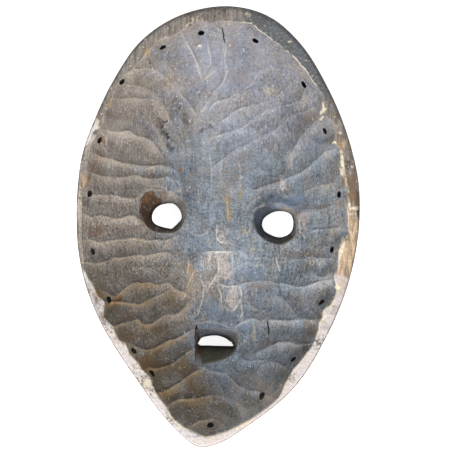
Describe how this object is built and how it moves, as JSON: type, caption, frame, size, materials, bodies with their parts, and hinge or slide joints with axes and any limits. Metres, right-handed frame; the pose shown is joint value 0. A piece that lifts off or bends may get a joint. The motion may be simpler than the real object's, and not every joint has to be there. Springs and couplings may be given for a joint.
{
  "type": "dan mask",
  "caption": "Carved wooden face mask with a gouged hollow back, round eyes, a long nose, open lips and an edge drilled for cord.",
  "frame": {"origin": "middle of the bounding box, on the plane under the forehead and lips that the mask lies on", "axes": "+Y towards the crown, +X to the right for someone who looks into the hollow, +Z out of the hollow"},
  "size_m": [0.155, 0.2412, 0.066],
  "materials": {
    "wood": "greyed, handled hardwood in the hollow, with gouge marks, pale worn edges and a dark brown oiled face"
  },
  "bodies": {
    "root": {"mask": "wood"}
  },
  "joints": []
}
